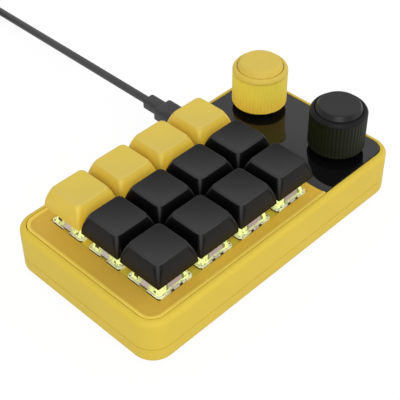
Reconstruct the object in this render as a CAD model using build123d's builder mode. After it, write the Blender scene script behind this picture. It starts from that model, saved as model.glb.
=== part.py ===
from build123d import *
import math
import os

# A desk macro keypad: twelve sprung keys, two turning push knobs and its USB lead.
# Millimetres. +X runs from the keys to the knobs, +Y to the back where the lead leaves,
# +Z up. The origin is on the table, under the middle of the case.

# Small round pins, bosses and bores that nothing shows through have this many sides
round_sides = 8
facing_flats = 180 / round_sides
spring_sides = 6
foot_sides = 12

# Key grid
key_pitch = 19.05
key_columns = 4
row_names = ["front", "middle", "back"]
key_travel = 4.0
first_key_inset = 19.5

# Case
case_length = 125.5
case_width = 70.5
case_height = 18.2
case_corner = 8.4
case_wall = 2.35
case_floor = 2.0
seam_height = 5.9
top_round = 2.2
bottom_bevel = 1.2
tongue_height = 1.0
tongue_wall = 1.0
fit_clearance = 0.1
groove_gap = 0.3
ledge_width = 1.6
ledge_height = 1.6

# Deck, switch plate and knob panel
dish_depth = 0.7
lip_flat = 0.35
lip_width = 1.4
lip_drop = 0.4
cove_width = 4.2
deck_thickness = 2.6
opening_reach = 8.15
plate_step = 0.6
plate_thickness = 1.5
plate_rim = 2.5
plate_bearing_share = 0.6
panel_thickness = 1.6
panel_reach = 11.25
panel_bevel_width = 1.6
panel_bevel_height = 0.7

# Key switch
switch_hole = 14.0
switch_body = 13.8
switch_cavity = 11.8
switch_depth = 5.0
switch_floor = 1.2
flange_width = 15.6
flange_height = 1.0
housing_height = 6.6
housing_base = 14.0
housing_top = 10.8
housing_wall = 1.0
stem_opening_x = 7.4
stem_opening_y = 6.2
post_radius = 2.0
post_length = 3.0

# Stem and spring
stem_length = 7.0
stem_width = 5.2
stop_length = 8.8
stop_width = 7.6
stop_rest = 2.0
stop_clearance = 0.1
cross_arm = 4.0
cross_thick_x = 1.25
cross_thick_y = 1.05
cross_height = 3.6
socket_clearance = 0.1
spring_outer = 2.0
spring_inner = 1.5
spring_bore = 2.3
spring_roof = 1.2

# Keycap
cap_base = 18.1
cap_top = 14.3
cap_height = 8.46
cap_corner = 1.6
cap_wall = 1.35
cap_roof = 1.6
cap_gap = 7.2
dish_radius = 45.0
cap_post_radius = 2.75
cap_post_lift = 0.3

# Circuit board
board_thickness = 1.6
board_gap = 0.4
post_clearance = 0.05
lamp_length = 3.4
lamp_width = 2.6
lamp_height = 0.8
lamp_offset = 4.3
lamp_clearance = 0.2
chip_size = 10.0
chip_height = 1.2

# Rotary encoders and knobs
knob_inset = 15.5
knob_press = 0.5
encoder_length = 11.7
encoder_width = 12.0
encoder_height = 4.4
encoder_floor = 0.7
encoder_roof = 0.8
encoder_cavity = 9.0
encoder_clearance = 0.4
bushing_radius = 3.5
bushing_height = 4.8
bushing_clearance = 0.2
shaft_radius = 3.0
shaft_clearance = 0.05
shaft_top_gap = 3.5
shaft_flat = 1.5
shaft_collar = 3.8
shaft_collar_height = 1.1
plunger_radius = 3.0
plunger_height = 0.6
knob_radius = 10.62
knob_height = 15.5
knob_lift = 2.6
knob_ribs = 44
rib_depth = 0.4
rib_inset = 0.1
knob_band = 1.5
knob_bevel = 0.7
knob_hollow = 6.5
knob_hollow_height = 5.0
knob_bore_clearance = 0.02
inlay_radius = 8.65
inlay_gap = 0.3
inlay_depth = 1.2
inlay_top_radius = 7.6
inlay_rise = 2.0

# Fasteners and feet
boss_inset = 6.0
boss_radius = 3.2
screw_radius = 1.2
screw_length = 11.0
screw_head_radius = 2.3
screw_head_height = 1.6
screw_recess = 1.8
foot_proud = 1.2
foot_radius = 4.0
foot_inset_x = 17.0
foot_inset_y = 10.0

# USB socket and the plug in it
port_inset = 35.8
socket_length = 8.94
socket_height = 3.2
socket_depth = 7.35
socket_reach = 2.6
socket_wall = 0.3
tongue_length = 6.7
tongue_thick = 0.7
port_corner_share = 0.32
port_gap_x = 0.13
port_gap_z = 0.25
plug_shell_length = 8.25
plug_shell_height = 2.4
plug_insertion = 6.2
plug_length = 9.6
plug_height = 6.0
plug_depth = 17.7
plug_corner = 1.8
relief_radius = 2.65
relief_length = 8.3

# Lead
cord_diameter = 3.4
cord_sides = 8
coil_sides = 6
coil_turns = 3.5
coil_pitch = 3.9
coil_radius = 46.7
coil_centre_y = 198.0
tail_run = 9.0
tail_slope_run = 18.0
far_plug_length = 15.5
far_plug_height = 8.0
far_plug_depth = 24.0
far_shell_length = 12.0
far_shell_height = 4.5
far_shell_depth = 18.8
far_shell_wall = 0.35
floor_lift = 0.05

# Levels, from the table up
case_bottom = foot_proud
case_top = case_bottom + case_height
seam = case_bottom + seam_height
ledge_top = case_top - deck_thickness
ledge_bottom = ledge_top - ledge_height
deck_floor = case_top - dish_depth
plate_top = deck_floor - plate_step
flange_top = plate_top + flange_height
switch_top = plate_top + housing_height
board_top = plate_top - switch_depth
board_bottom = board_top - board_thickness
base_floor = board_top + switch_floor
skirt = plate_top + cap_gap
panel_bottom = case_top - panel_thickness
encoder_top = board_top + encoder_height
knob_bottom = case_top + knob_lift
knob_top = knob_bottom + knob_height
port_z = board_bottom - socket_height / 2

# Places in plan
key_x = [first_key_inset - case_length / 2 + key_pitch * column for column in range(key_columns)]
key_y = [key_pitch * (row - (len(row_names) - 1) / 2) for row in range(len(row_names))]
key_places = [(x, y) for y in key_y for x in key_x]
knob_x = case_length / 2 - knob_inset
knob_places = {"front": (knob_x, key_y[0]), "back": (knob_x, key_y[-1])}
panel_left = key_x[-1] + panel_reach
boss_x = case_length / 2 - boss_inset
boss_y = case_width / 2 - boss_inset
boss_places = [(x, y) for x in (-boss_x, boss_x) for y in (-boss_y, boss_y)]
foot_x = case_length / 2 - foot_inset_x
foot_y = case_width / 2 - foot_inset_y
foot_places = [(x, y) for x in (-foot_x, foot_x) for y in (-foot_y, foot_y)]
port_x = case_length / 2 - port_inset
case_back = case_width / 2

inner_length = case_length - 2 * case_wall
inner_width = case_width - 2 * case_wall
inner_corner = case_corner - case_wall
deck_length = inner_length - 2 * groove_gap
deck_width = inner_width - 2 * groove_gap
deck_corner = inner_corner - groove_gap

os.makedirs("parts", exist_ok=True)


def add_port_outline(length, height):
    # The flat-sided oval of the USB port, socket and nose, with its ends cut at two angles
    corner = height * port_corner_share
    half_length = length / 2
    half_height = height / 2
    quarter = [(half_length, half_height - corner), (half_length - corner, half_height)]
    points = quarter + [(-x, y) for x, y in reversed(quarter)]
    Polygon(*points, *[(-x, -y) for x, y in points], align=None)


def save(part, name):
    part.label = name
    export_step(part, f"parts/{name}.step")


# Bottom case: a tray with four screw posts and a tongue that steps inside the top case
with BuildPart() as bottom_case:
    with BuildSketch(Plane.XY.offset(case_bottom)):
        RectangleRounded(case_length, case_width, case_corner)
    extrude(amount=seam - case_bottom)
    chamfer(bottom_case.edges().group_by(Axis.Z)[0], bottom_bevel)
    tongue_outer_length = inner_length - 2 * fit_clearance
    tongue_outer_width = inner_width - 2 * fit_clearance
    tongue_corner = inner_corner - fit_clearance
    with BuildSketch(Plane.XY.offset(seam)):
        RectangleRounded(tongue_outer_length, tongue_outer_width, tongue_corner)
        with Locations(*boss_places):
            RegularPolygon(boss_radius + fit_clearance, round_sides, mode=Mode.SUBTRACT)
    extrude(amount=tongue_height)
    with BuildSketch(Plane.XY.offset(case_bottom + case_floor)):
        RectangleRounded(
            tongue_outer_length - 2 * tongue_wall,
            tongue_outer_width - 2 * tongue_wall,
            tongue_corner - tongue_wall,
        )
    extrude(amount=case_height, mode=Mode.SUBTRACT)
    with BuildSketch(Plane.XY.offset(case_bottom)):
        with Locations(*boss_places):
            RegularPolygon(boss_radius, round_sides)
    extrude(amount=seam - case_bottom)
    with BuildSketch(Plane.XY.offset(case_bottom)):
        with Locations(*boss_places):
            RegularPolygon(screw_head_radius + fit_clearance, round_sides)
    extrude(amount=screw_recess, mode=Mode.SUBTRACT)
    with BuildSketch(Plane.XY.offset(case_bottom)):
        with Locations(*boss_places):
            RegularPolygon(screw_radius + fit_clearance, round_sides)
    extrude(amount=seam_height, mode=Mode.SUBTRACT)
save(bottom_case.part, "bottom_case")

# Top case: a ring wall with a rounded rim, a ledge for the deck, screw bosses and the port
with BuildPart() as top_case:
    with BuildSketch(Plane.XY.offset(seam)):
        RectangleRounded(case_length, case_width, case_corner)
    extrude(amount=case_top - seam)
    fillet(top_case.edges().group_by(Axis.Z)[-1], top_round)
    with BuildSketch(Plane.XY.offset(ledge_top)):
        RectangleRounded(inner_length, inner_width, inner_corner)
    extrude(amount=deck_thickness, mode=Mode.SUBTRACT)
    with BuildSketch(Plane.XY.offset(ledge_bottom)):
        RectangleRounded(
            inner_length - 2 * ledge_width,
            inner_width - 2 * ledge_width,
            inner_corner - ledge_width,
        )
    extrude(amount=ledge_height, mode=Mode.SUBTRACT)
    with BuildSketch(Plane.XY.offset(seam)):
        RectangleRounded(inner_length, inner_width, inner_corner)
    extrude(amount=ledge_bottom - seam, mode=Mode.SUBTRACT)
    with BuildSketch(Plane.XY.offset(seam)):
        with Locations(*boss_places):
            RegularPolygon(boss_radius, round_sides)
    extrude(amount=ledge_bottom - seam)
    with BuildSketch(Plane.XY.offset(seam)):
        with Locations(*boss_places):
            RegularPolygon(screw_radius + fit_clearance, round_sides)
    extrude(amount=screw_length + case_bottom + screw_head_height - seam, mode=Mode.SUBTRACT)
    port_height = socket_height + 2 * port_gap_z
    with BuildSketch(Plane.XZ.offset(-case_back)):
        with Locations((port_x, port_z)):
            add_port_outline(socket_length + 2 * port_gap_x, port_height)
    extrude(amount=case_wall, mode=Mode.SUBTRACT)
save(top_case.part, "top_case")

# Key deck: dished towards its edges, one opening round all the keys, a lower shelf for the panel
with BuildPart() as key_deck:
    with BuildSketch(Plane.XY.offset(ledge_top)):
        RectangleRounded(deck_length, deck_width, deck_corner)
    extrude(amount=deck_thickness)
    lip_levels = [(lip_flat, case_top), (lip_flat + lip_width, case_top - lip_drop)]
    cove_levels = [lip_levels[-1], (lip_flat + lip_width + cove_width, deck_floor)]
    for rim_levels in (lip_levels, cove_levels):
        for inset, level in rim_levels:
            with BuildSketch(Plane.XY.offset(level)):
                RectangleRounded(
                    deck_length - 2 * inset,
                    deck_width - 2 * inset,
                    max(deck_corner - inset, 0.6),
                )
        loft(ruled=True, mode=Mode.SUBTRACT)
    with BuildSketch(Plane.XY.offset(case_top - lip_drop)):
        RectangleRounded(
            deck_length - 2 * cove_levels[-1][0], deck_width - 2 * cove_levels[-1][0], 0.6
        )
    extrude(amount=lip_drop, mode=Mode.SUBTRACT)
    shelf_length = deck_length / 2 - panel_left
    with BuildSketch(Plane.XY.offset(panel_bottom)):
        with Locations((panel_left + shelf_length / 2, 0)):
            Rectangle(shelf_length, deck_width)
    extrude(amount=panel_thickness, mode=Mode.SUBTRACT)
    keys_middle = ((key_x[0] + key_x[-1]) / 2, (key_y[0] + key_y[-1]) / 2)
    keys_length = key_x[-1] - key_x[0]
    keys_width = key_y[-1] - key_y[0]
    opening_width = keys_width + 2 * opening_reach
    with BuildSketch(Plane.XY.offset(ledge_top)):
        with Locations(keys_middle):
            Rectangle(keys_length + 2 * opening_reach, opening_width)
    extrude(amount=deck_thickness, mode=Mode.SUBTRACT)
    # The plate bears on the deck's underside, and stays short of the case's ledge
    ledge_opening_width = inner_width - 2 * ledge_width
    plate_length = keys_length + 2 * (opening_reach + plate_rim)
    plate_width = opening_width + plate_bearing_share * (ledge_opening_width - opening_width)
    with BuildSketch(Plane.XY.offset(ledge_top)):
        with Locations(keys_middle):
            Rectangle(plate_length + fit_clearance, plate_width + fit_clearance)
    extrude(amount=plate_top - ledge_top, mode=Mode.SUBTRACT)
    with BuildSketch(Plane.XY.offset(ledge_top)):
        with Locations(*knob_places.values()):
            Rectangle(encoder_length + 2 * encoder_clearance, encoder_width + 2 * encoder_clearance)
    extrude(amount=deck_thickness, mode=Mode.SUBTRACT)
save(key_deck.part, "key_deck")

# Switch plate: the square-holed plate that the twelve switches clip into
with BuildPart() as switch_plate:
    with BuildSketch(Plane.XY.offset(plate_top - plate_thickness)):
        with Locations(keys_middle):
            Rectangle(plate_length, plate_width)
        with Locations(*key_places):
            Rectangle(switch_hole, switch_hole, mode=Mode.SUBTRACT)
    extrude(amount=plate_thickness)
save(switch_plate.part, "switch_plate")

# Knob panel: the gloss inlay with a bevelled left edge and a hole for each encoder bushing
panel_length = deck_length / 2 - panel_left
with BuildPart() as knob_panel:
    with BuildSketch(Plane.XY.offset(panel_bottom)):
        RectangleRounded(deck_length, deck_width, deck_corner)
        with Locations((panel_left - deck_length / 2, 0)):
            Rectangle(deck_length, deck_width, mode=Mode.SUBTRACT)
    extrude(amount=panel_thickness)
    left_edge = knob_panel.edges().filter_by(Axis.Y).group_by(Axis.Z)[-1].sort_by(Axis.X)[0]
    left_side = knob_panel.faces().sort_by(Axis.X)[0]
    chamfer(left_edge, panel_bevel_height, panel_bevel_width, reference=left_side)
    with BuildSketch(Plane.XY.offset(panel_bottom)):
        with Locations(*knob_places.values()):
            Circle(bushing_radius + bushing_clearance)
    extrude(amount=panel_thickness, mode=Mode.SUBTRACT)
save(knob_panel.part, "knob_panel")

# Circuit board with its soldered lamps and controller chip
board_length = 2 * (boss_x - boss_radius - board_gap)
board_width = tongue_outer_width - 2 * (tongue_wall + board_gap)
with BuildPart() as circuit_board:
    with BuildSketch(Plane.XY.offset(board_bottom)):
        Rectangle(board_length, board_width)
        with Locations(*key_places):
            RegularPolygon(post_radius + post_clearance, round_sides, mode=Mode.SUBTRACT)
    extrude(amount=board_thickness)
    with BuildSketch(Plane.XY.offset(board_top)):
        with Locations(*[(x, y - lamp_offset) for x, y in key_places]):
            Rectangle(lamp_length, lamp_width)
    extrude(amount=lamp_height)
    chip_place = (panel_left, 0)
    with BuildSketch(Plane.XY.offset(board_bottom)):
        with Locations(chip_place):
            Rectangle(chip_size, chip_size)
    extrude(amount=-chip_height)
save(circuit_board.part, "circuit_board")

# USB socket: a steel shell under the board with the contact tongue inside
socket_front = board_width / 2 + socket_reach
with BuildPart() as usb_socket:
    with BuildSketch(Plane.XZ.offset(-socket_front)):
        with Locations((port_x, port_z)):
            add_port_outline(socket_length, socket_height)
    extrude(amount=socket_depth)
    mouth_length = socket_length - 2 * socket_wall
    mouth_height = socket_height - 2 * socket_wall
    with BuildSketch(Plane.XZ.offset(-socket_front)):
        with Locations((port_x, port_z)):
            add_port_outline(mouth_length, mouth_height)
    extrude(amount=socket_depth - socket_wall, mode=Mode.SUBTRACT)
    with BuildSketch(Plane.XZ.offset(socket_depth - socket_front)):
        with Locations((port_x, port_z)):
            Rectangle(tongue_length, tongue_thick)
    extrude(amount=-plug_insertion)
save(usb_socket.part, "usb_socket")

# Switch base: the lower housing with its plate flange, spring well and locating post
with BuildPart() as switch_base:
    with BuildSketch(Plane.XY.offset(board_top)):
        Rectangle(switch_body, switch_body)
    extrude(amount=switch_depth)
    with BuildSketch(Plane.XY.offset(plate_top)):
        Rectangle(flange_width, flange_width)
    extrude(amount=flange_height)
    with BuildSketch(Plane.XY.offset(base_floor)):
        Rectangle(switch_cavity, switch_cavity)
    extrude(amount=flange_top - base_floor, mode=Mode.SUBTRACT)
    with BuildSketch(Plane.XY.offset(board_top)):
        with Locations((0, -lamp_offset)):
            Rectangle(lamp_length + 2 * lamp_clearance, lamp_width + 2 * lamp_clearance)
    extrude(amount=switch_floor, mode=Mode.SUBTRACT)
    with BuildSketch(Plane.XY.offset(board_top)):
        RegularPolygon(post_radius, round_sides)
    extrude(amount=-post_length)

with BuildPart() as switch_bases:
    with Locations(*key_places):
        add(switch_base.part)
save(switch_bases.part, "switch_bases")

# Switch top: the clear tapered upper housing, open for the stem
ceiling = switch_top - housing_wall
cover_height = switch_top - flange_top
cover_taper = math.degrees(math.atan((housing_base - housing_top) / 2 / cover_height))
with BuildPart() as switch_cover:
    with BuildSketch(Plane.XY.offset(flange_top)):
        Rectangle(housing_base, housing_base)
    extrude(amount=cover_height, taper=cover_taper)
    with BuildSketch(Plane.XY.offset(flange_top)):
        Rectangle(housing_base - 2 * housing_wall, housing_base - 2 * housing_wall)
    extrude(amount=ceiling - flange_top, taper=cover_taper, mode=Mode.SUBTRACT)
    with BuildSketch(Plane.XY.offset(ceiling)):
        Rectangle(stem_opening_x, stem_opening_y)
    extrude(amount=housing_wall, mode=Mode.SUBTRACT)

with BuildPart() as switch_tops:
    with Locations(*key_places):
        add(switch_cover.part)
save(switch_tops.part, "switch_tops")

# Stem: the slider that the keycap plugs onto, held in by its wider foot
stop_top = ceiling - stop_clearance
stop_bottom = base_floor + key_travel + stop_rest
with BuildPart() as stem:
    with BuildSketch(Plane.XY.offset(stop_bottom)):
        Rectangle(stop_length, stop_width)
    extrude(amount=stop_top - stop_bottom)
    with BuildSketch(Plane.XY.offset(stop_top)):
        Rectangle(stem_length, stem_width)
    extrude(amount=switch_top - stop_top)
    with BuildSketch(Plane.XY.offset(switch_top)):
        Rectangle(cross_arm, cross_thick_x)
        Rectangle(cross_thick_y, cross_arm)
    extrude(amount=cross_height)
    spring_top = switch_top - spring_roof
    with BuildSketch(Plane.XY.offset(stop_bottom)):
        RegularPolygon(spring_bore, spring_sides)
    extrude(amount=spring_top - stop_bottom, mode=Mode.SUBTRACT)

# Spring: the coil's outer shape as a sleeve, between the base's floor and the stem
with BuildPart() as spring:
    with BuildSketch(Plane.XY.offset(base_floor)):
        RegularPolygon(spring_outer, spring_sides)
        RegularPolygon(spring_inner, spring_sides, mode=Mode.SUBTRACT)
    extrude(amount=spring_top - base_floor - post_clearance)

# Keycap: tapered sides, a spherical dish and the cross socket on its post
cap_taper = math.degrees(math.atan((cap_base - cap_top) / 2 / cap_height))
dish_reach = math.hypot(cap_top / 2, cap_top / 2) - cap_corner * (math.sqrt(2) - 1)
dish_centre = skirt + cap_height + math.sqrt(dish_radius**2 - dish_reach**2)
cap_ceiling = dish_centre - dish_radius - cap_roof
post_bottom = switch_top + cap_post_lift
with BuildPart() as keycap:
    with BuildSketch(Plane.XY.offset(skirt)):
        Rectangle(cap_base, cap_base)
    extrude(amount=cap_height, taper=cap_taper)
    levels = keycap.edges().group_by(Axis.Z)
    fillet(levels[len(levels) // 2], cap_corner)
    with Locations((0, 0, dish_centre)):
        Sphere(dish_radius, rotation=(90, 0, 0), mode=Mode.SUBTRACT)
    with BuildSketch(Plane.XY.offset(skirt)):
        Rectangle(cap_base - 2 * cap_wall, cap_base - 2 * cap_wall)
    extrude(amount=cap_ceiling - skirt, taper=cap_taper, mode=Mode.SUBTRACT)
    with BuildSketch(Plane.XY.offset(post_bottom)):
        RegularPolygon(cap_post_radius, round_sides, rotation=facing_flats)
    extrude(amount=cap_ceiling + cap_roof / 2 - post_bottom)
    with BuildSketch(Plane.XY.offset(post_bottom)):
        Rectangle(cross_arm + socket_clearance, cross_thick_x + socket_clearance)
        Rectangle(cross_thick_y + socket_clearance, cross_arm + socket_clearance)
    extrude(amount=cross_height + socket_clearance, mode=Mode.SUBTRACT)

for row, y in zip(row_names, key_y):
    for column, x in enumerate(key_x, start=1):
        place = Location((x, y, 0))
        for piece, name in ((keycap, "keycap"), (stem, "stem"), (spring, "spring")):
            save(piece.part.moved(place), f"{name}_{row}_{column}")

# Encoder body: a hollow block on the board with the bushing that guides the shaft
bushing_top = encoder_top + bushing_height
cavity_bottom = board_top + encoder_floor
cavity_top = encoder_top - encoder_roof
with BuildPart() as encoder_body:
    with BuildSketch(Plane.XY.offset(board_top)):
        Rectangle(encoder_length, encoder_width)
    extrude(amount=encoder_height)
    with BuildSketch(Plane.XY.offset(encoder_top)):
        Circle(bushing_radius)
    extrude(amount=bushing_height)
    with BuildSketch(Plane.XY.offset(cavity_bottom)):
        Rectangle(encoder_cavity, encoder_cavity)
    extrude(amount=cavity_top - cavity_bottom, mode=Mode.SUBTRACT)
    with BuildSketch(Plane.XY.offset(cavity_top)):
        Circle(shaft_radius + shaft_clearance)
    extrude(amount=bushing_top - cavity_top, mode=Mode.SUBTRACT)

with BuildPart() as encoder_bodies:
    with Locations(*knob_places.values()):
        add(encoder_body.part)
save(encoder_bodies.part, "encoder_bodies")

# Encoder plunger: the click button under the shaft
plunger_bottom = cavity_bottom + knob_press + fit_clearance
plunger_top = plunger_bottom + plunger_height
with BuildPart() as encoder_plunger:
    with BuildSketch(Plane.XY.offset(plunger_bottom)):
        RegularPolygon(plunger_radius, round_sides)
    extrude(amount=plunger_height)

# Encoder shaft: a collar inside the body and a flatted end for the knob
shaft_bottom = plunger_top + shaft_clearance
shaft_top = knob_top - shaft_top_gap
collar_top = cavity_top - fit_clearance
with BuildPart() as encoder_shaft:
    with BuildSketch(Plane.XY.offset(shaft_bottom)):
        Circle(shaft_radius)
    extrude(amount=shaft_top - shaft_bottom)
    with BuildSketch(Plane.XY.offset(collar_top - shaft_collar_height)):
        RegularPolygon(shaft_collar, round_sides)
    extrude(amount=shaft_collar_height)
    flat_start = bushing_top + knob_press + fit_clearance
    with BuildSketch(Plane.XY.offset(flat_start)):
        with Locations((shaft_flat + shaft_radius / 2, 0)):
            Rectangle(shaft_radius, 2 * shaft_radius)
    extrude(amount=shaft_top - flat_start, mode=Mode.SUBTRACT)

# Knob: a ribbed drum with a hollow foot, the flatted bore and a recess for its inlay. Its smooth
# band, bevel and recess, and the inlay, have one side for each rib.
hollow_top = knob_bottom + knob_hollow_height
recess_floor = knob_top - inlay_depth
rib_points = []
for step in range(2 * knob_ribs):
    rib_radius = knob_radius - rib_inset - rib_depth * (step % 2)
    rib_angle = math.pi * step / knob_ribs
    rib_points.append((rib_radius * math.cos(rib_angle), rib_radius * math.sin(rib_angle)))
with BuildPart() as knob:
    with BuildSketch(Plane.XY.offset(knob_bottom)):
        Polygon(*rib_points, align=None)
    extrude(amount=knob_height - knob_band)
    with BuildSketch(Plane.XY.offset(knob_top - knob_band)):
        RegularPolygon(knob_radius, knob_ribs)
    extrude(amount=knob_band)
    chamfer(knob.edges().group_by(Axis.Z)[-1], knob_bevel)
    with BuildSketch(Plane.XY.offset(knob_bottom)):
        RegularPolygon(knob_hollow, round_sides)
    extrude(amount=knob_hollow_height, mode=Mode.SUBTRACT)
    with BuildSketch(Plane.XY.offset(hollow_top)):
        Circle(shaft_radius + knob_bore_clearance)
        with Locations((shaft_flat + knob_bore_clearance + shaft_radius / 2, 0)):
            Rectangle(shaft_radius, 2.1 * shaft_radius, mode=Mode.SUBTRACT)
    extrude(amount=shaft_top + fit_clearance - hollow_top, mode=Mode.SUBTRACT)
    with BuildSketch(Plane.XY.offset(recess_floor)):
        RegularPolygon(inlay_radius + inlay_gap, knob_ribs)
    extrude(amount=inlay_depth, mode=Mode.SUBTRACT)

# Knob cap: the raised, bevelled disc set into the knob's top
with BuildPart() as knob_cap:
    with BuildSketch(Plane.XY.offset(recess_floor)):
        RegularPolygon(inlay_radius, knob_ribs)
    extrude(amount=inlay_depth)
    with BuildSketch(Plane.XY.offset(knob_top)):
        RegularPolygon(inlay_radius, knob_ribs)
    inlay_taper = math.degrees(math.atan((inlay_radius - inlay_top_radius) / inlay_rise))
    extrude(amount=inlay_rise, taper=inlay_taper)

knob_pieces = (
    (encoder_plunger, "encoder_plunger"),
    (encoder_shaft, "encoder_shaft"),
    (knob, "knob"),
    (knob_cap, "knob_cap"),
)
for side, (x, y) in knob_places.items():
    for piece, name in knob_pieces:
        save(piece.part.moved(Location((x, y, 0))), f"{name}_{side}")

# Rubber feet, stuck under the bottom case
with BuildPart() as rubber_feet:
    with BuildSketch(Plane.XY):
        with Locations(*foot_places):
            RegularPolygon(foot_radius, foot_sides)
    extrude(amount=foot_proud)
save(rubber_feet.part, "rubber_feet")

# Case screws, up through the posts into the bosses of the top case
head_bottom = case_bottom + screw_recess - screw_head_height
with BuildPart() as case_screws:
    with BuildSketch(Plane.XY.offset(head_bottom)):
        with Locations(*boss_places):
            RegularPolygon(screw_head_radius, round_sides)
    extrude(amount=screw_head_height)
    with BuildSketch(Plane.XY.offset(head_bottom)):
        with Locations(*boss_places):
            RegularPolygon(screw_radius, round_sides)
    extrude(amount=screw_length)
save(case_screws.part, "case_screws")

# USB plug: its steel nose in the socket, the moulded grip and the strain relief
plug_tail = case_back + plug_depth + relief_length
with BuildPart() as usb_plug:
    with BuildSketch(Plane.XZ.offset(-case_back)):
        with Locations((port_x, port_z)):
            RectangleRounded(plug_length, plug_height, plug_corner)
    extrude(amount=-plug_depth)
    nose_depth = case_back - socket_front + plug_insertion
    with BuildSketch(Plane.XZ.offset(-case_back)):
        with Locations((port_x, port_z)):
            add_port_outline(plug_shell_length, plug_shell_height)
            Rectangle(
                tongue_length + 2 * fit_clearance,
                tongue_thick + 2 * fit_clearance,
                mode=Mode.SUBTRACT,
            )
    extrude(amount=nose_depth)
    with BuildSketch(Plane.XZ.offset(-case_back - plug_depth)):
        with Locations((port_x, port_z)):
            RegularPolygon(relief_radius, cord_sides)
    extrude(amount=-relief_length)
save(usb_plug.part, "usb_plug")

# Lead, free stretch: it leaves the plug level and comes down to the table in one long easy fall,
# drifting a little towards +X
cord_radius = cord_diameter / 2
cord_floor = cord_radius + floor_lift
cord_drift = 0.87
coil_start_y = coil_centre_y - cord_diameter
fall = [(80.0, port_z), (105.0, 8.9), (131.0, 6.2), (156.0, 3.2), (178.0, cord_floor)]
cord_points = [(port_x, plug_tail, port_z)]
cord_points += [(port_x + cord_drift * (port_z - z), y, z) for y, z in fall]
cord_points.append((cord_points[-1][0], coil_start_y, cord_floor))
coil_side_x = cord_points[-1][0]


def easy_radii(points, share=0.45):
    radii = []
    for before, corner, after in zip(points, points[1:], points[2:]):
        run_in = Vector(corner) - Vector(before)
        run_out = Vector(after) - Vector(corner)
        half_turn = math.radians(run_in.get_angle(run_out)) / 2
        radii.append(share * min(run_in.length, run_out.length) / math.tan(half_turn))
    return radii


cord_radii = easy_radii(cord_points)
print("cord radii", [round(radius) for radius in cord_radii])

with BuildPart() as cord:
    with BuildLine() as cord_line:
        FilletPolyline(*cord_points, radius=cord_radii)
    with BuildSketch(Plane(origin=cord_points[0], z_dir=(0, 1, 0))) as cord_section:
        RegularPolygon(cord_radius, cord_sides)
    sweep(path=cord_line.wire())
save(cord.part, "cord")
cord_length = cord_line.wire().length
cord_share = cord.part.volume / cord_section.sketch.area / cord_length
print("cord length", round(cord_length, 1), "volume share", round(cord_share, 4))

# Lead, put-away coil: a spiral in on the table, a climb of one layer, a spiral out on top
coil_centre = Vector(coil_side_x - coil_radius, coil_centre_y, cord_floor)
reversal = coil_turns / 2


def coil_point(turn):
    radius = coil_radius - coil_pitch * (turn if turn < reversal else 2 * reversal - turn)
    climb = min(max((turn - reversal + 0.25) / 0.5, 0), 1)
    angle = 2 * math.pi * turn
    across = Vector(radius * math.cos(angle), radius * math.sin(angle), coil_pitch * climb)
    return coil_centre + across


def coil_direction(turn):
    if turn in (0, coil_turns):
        return Vector(0, 1 if turn == 0 else -1, 0)
    step = 0.001
    level = Vector(1, 1, 0 if abs(turn - reversal) > 0.2 else 1)
    ahead = coil_point(turn + step) - coil_point(turn - step)
    return Vector(ahead.X, ahead.Y, ahead.Z * level.Z).normalized()


def add_biarc(start, start_way, end, end_way):
    chord = end - start
    lean = chord.dot(start_way + end_way)
    bend = 2 * (1 - start_way.dot(end_way))
    if bend > 1e-6:
        reach = (math.sqrt(lean**2 + bend * chord.dot(chord)) - lean) / bend
    else:
        reach = chord.dot(chord) / (2 * lean)
    joint = (start + start_way * reach + end - end_way * reach) / 2
    first = TangentArc(start, joint, tangent=start_way)
    TangentArc(joint, end, tangent=first % 1)


turn_marks = [0.5 * half for half in range(int(2 * coil_turns) + 1)]
turn_marks = sorted(turn_marks + [reversal])
far_plug_z = far_plug_height / 2 + floor_lift
with BuildPart() as cord_coil:
    with BuildLine() as coil_line:
        coil_start = Vector(coil_side_x, coil_start_y, cord_floor)
        Line(coil_start, coil_point(0))
        for turn, next_turn in zip(turn_marks, turn_marks[1:]):
            add_biarc(
                coil_point(turn),
                coil_direction(turn),
                coil_point(next_turn),
                coil_direction(next_turn),
            )
        way_out = coil_direction(coil_turns)
        tail_start = coil_point(coil_turns)
        tail_fall = tail_start + way_out * tail_run
        tail_level = tail_fall + way_out * tail_slope_run
        tail_level = Vector(tail_level.X, tail_level.Y, far_plug_z)
        tail_end = tail_level + way_out * cord_diameter
        Line(tail_start, tail_fall)
        add_biarc(tail_fall, way_out, tail_level, way_out)
        Line(tail_level, tail_end)
    with BuildSketch(Plane(origin=coil_start, z_dir=(0, 1, 0))):
        RegularPolygon(cord_radius, coil_sides)
    sweep(path=coil_line.wire())
save(cord_coil.part, "cord_coil")
coil_length = coil_line.wire().length
samples = 480
coil_samples = [coil_line.wire().position_at(index / samples) for index in range(samples + 1)]
apart = int(samples * 3 * cord_diameter / coil_length) + 1
least = min(
    (coil_samples[first] - coil_samples[second]).length
    for first in range(samples + 1)
    for second in range(first + apart, samples + 1)
)
print("coil length", round(coil_length, 1), "least gap", round(least - cord_diameter, 2))

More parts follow.
